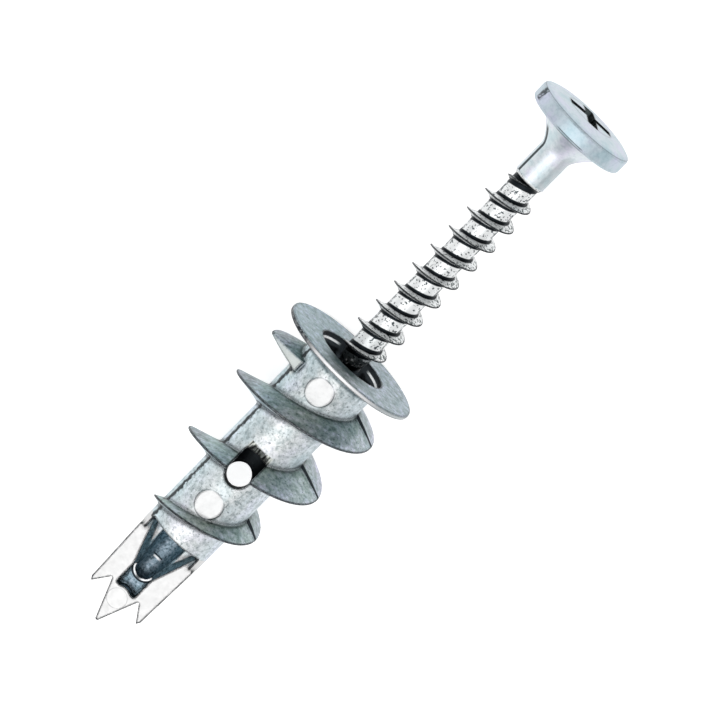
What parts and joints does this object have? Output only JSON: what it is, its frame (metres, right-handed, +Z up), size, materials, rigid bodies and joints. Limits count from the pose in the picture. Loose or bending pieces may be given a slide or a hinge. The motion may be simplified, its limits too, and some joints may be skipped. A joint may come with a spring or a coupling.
{
  "type": "self-drilling drywall anchor",
  "caption": "Cast zinc self-drilling drywall anchor with a coarse right-hand thread, a flat drill blade and side windows, with a cross-recess screw started in its mouth.",
  "frame": {"origin": "on the ground under the middle of the laid pair's box", "axes": "+X from the drill tip towards the screw head, in plan; +Z up; the pair lies on its flange rim and thread, so its axis rises 2.7 degrees towards the head"},
  "size_m": [0.0598, 0.0132, 0.0132],
  "materials": {
    "cast_zinc": "satin",
    "plated_steel": "polished"
  },
  "bodies": {
    "anchor": {"anchor_body": "cast_zinc"},
    "screw": {"screw": "plated_steel"}
  },
  "joints": [
    {"name": "screw_drive_in", "type": "slide", "parent": "anchor", "child": "screw", "axis": [-0.9989, 0, -0.0465], "range_m": [-0.006, 0.019]}
  ]
}
